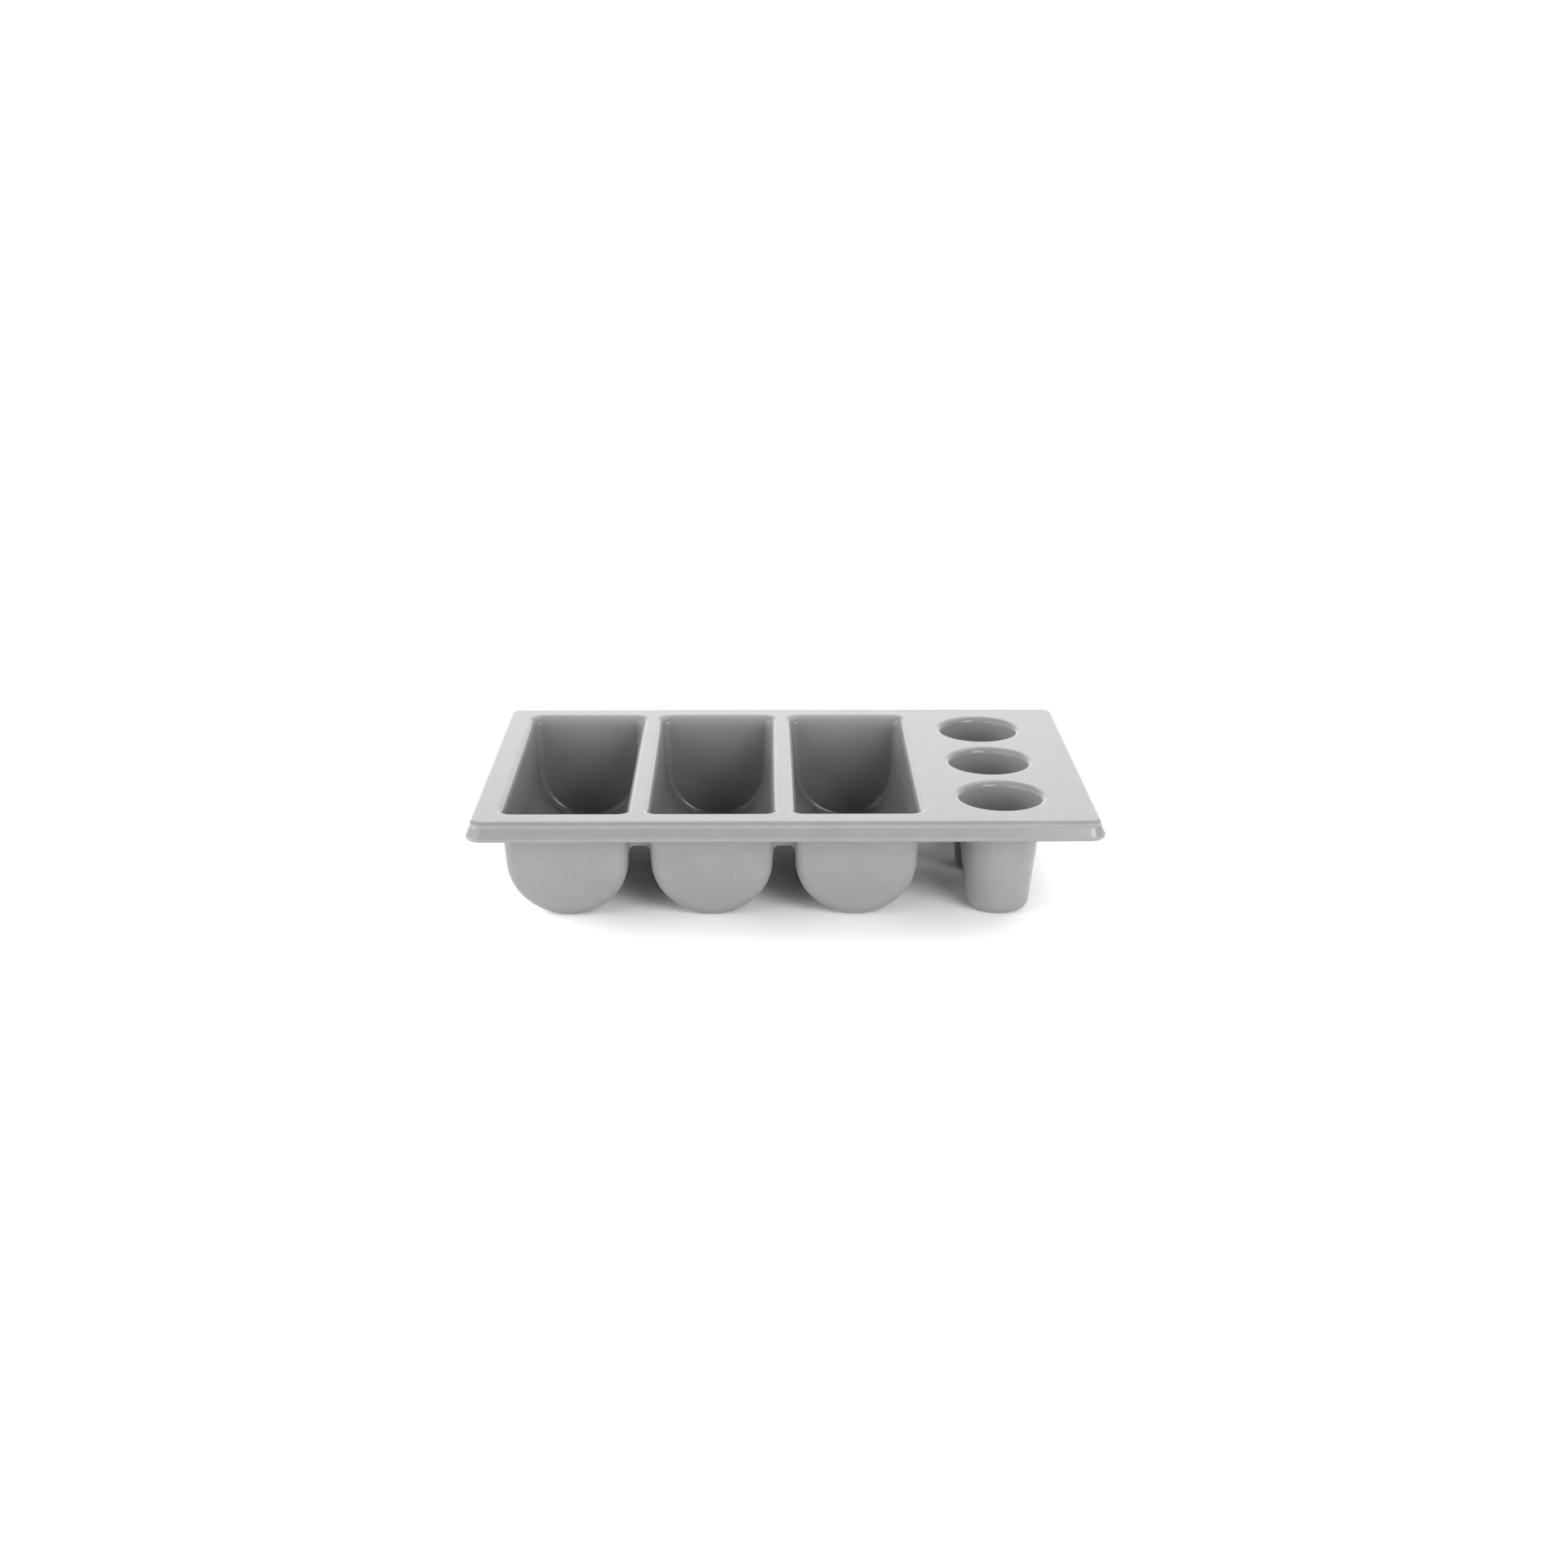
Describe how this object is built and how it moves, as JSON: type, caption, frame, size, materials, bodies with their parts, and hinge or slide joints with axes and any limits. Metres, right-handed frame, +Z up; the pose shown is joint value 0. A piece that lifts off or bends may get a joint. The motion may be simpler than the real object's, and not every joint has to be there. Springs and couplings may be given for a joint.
{
  "type": "cutlery box",
  "caption": "Rectangular grey plastic cutlery box with a turned-down rim, long round-bottomed troughs and a row of tapered cups, for a catering counter.",
  "frame": {"origin": "on the standing plane, under the middle of the box", "axes": "+X along the long side towards the cups, +Y from front to rear, +Z up"},
  "size_m": [0.53, 0.325, 0.1],
  "materials": {
    "tray_plastic": "satin, finely textured"
  },
  "bodies": {
    "root": {"deck_panel": "tray_plastic", "front_rim": "tray_plastic", "rear_rim": "tray_plastic", "left_rim": "tray_plastic", "right_rim": "tray_plastic", "front_left_corner": "tray_plastic", "front_right_corner": "tray_plastic", "rear_left_corner": "tray_plastic", "rear_right_corner": "tray_plastic", "left_trough": "tray_plastic", "centre_trough": "tray_plastic", "right_trough": "tray_plastic", "front_cup": "tray_plastic", "middle_cup": "tray_plastic", "rear_cup": "tray_plastic", "front_left_web": "tray_plastic", "front_right_web": "tray_plastic", "rear_left_web": "tray_plastic", "rear_right_web": "tray_plastic"}
  },
  "joints": []
}
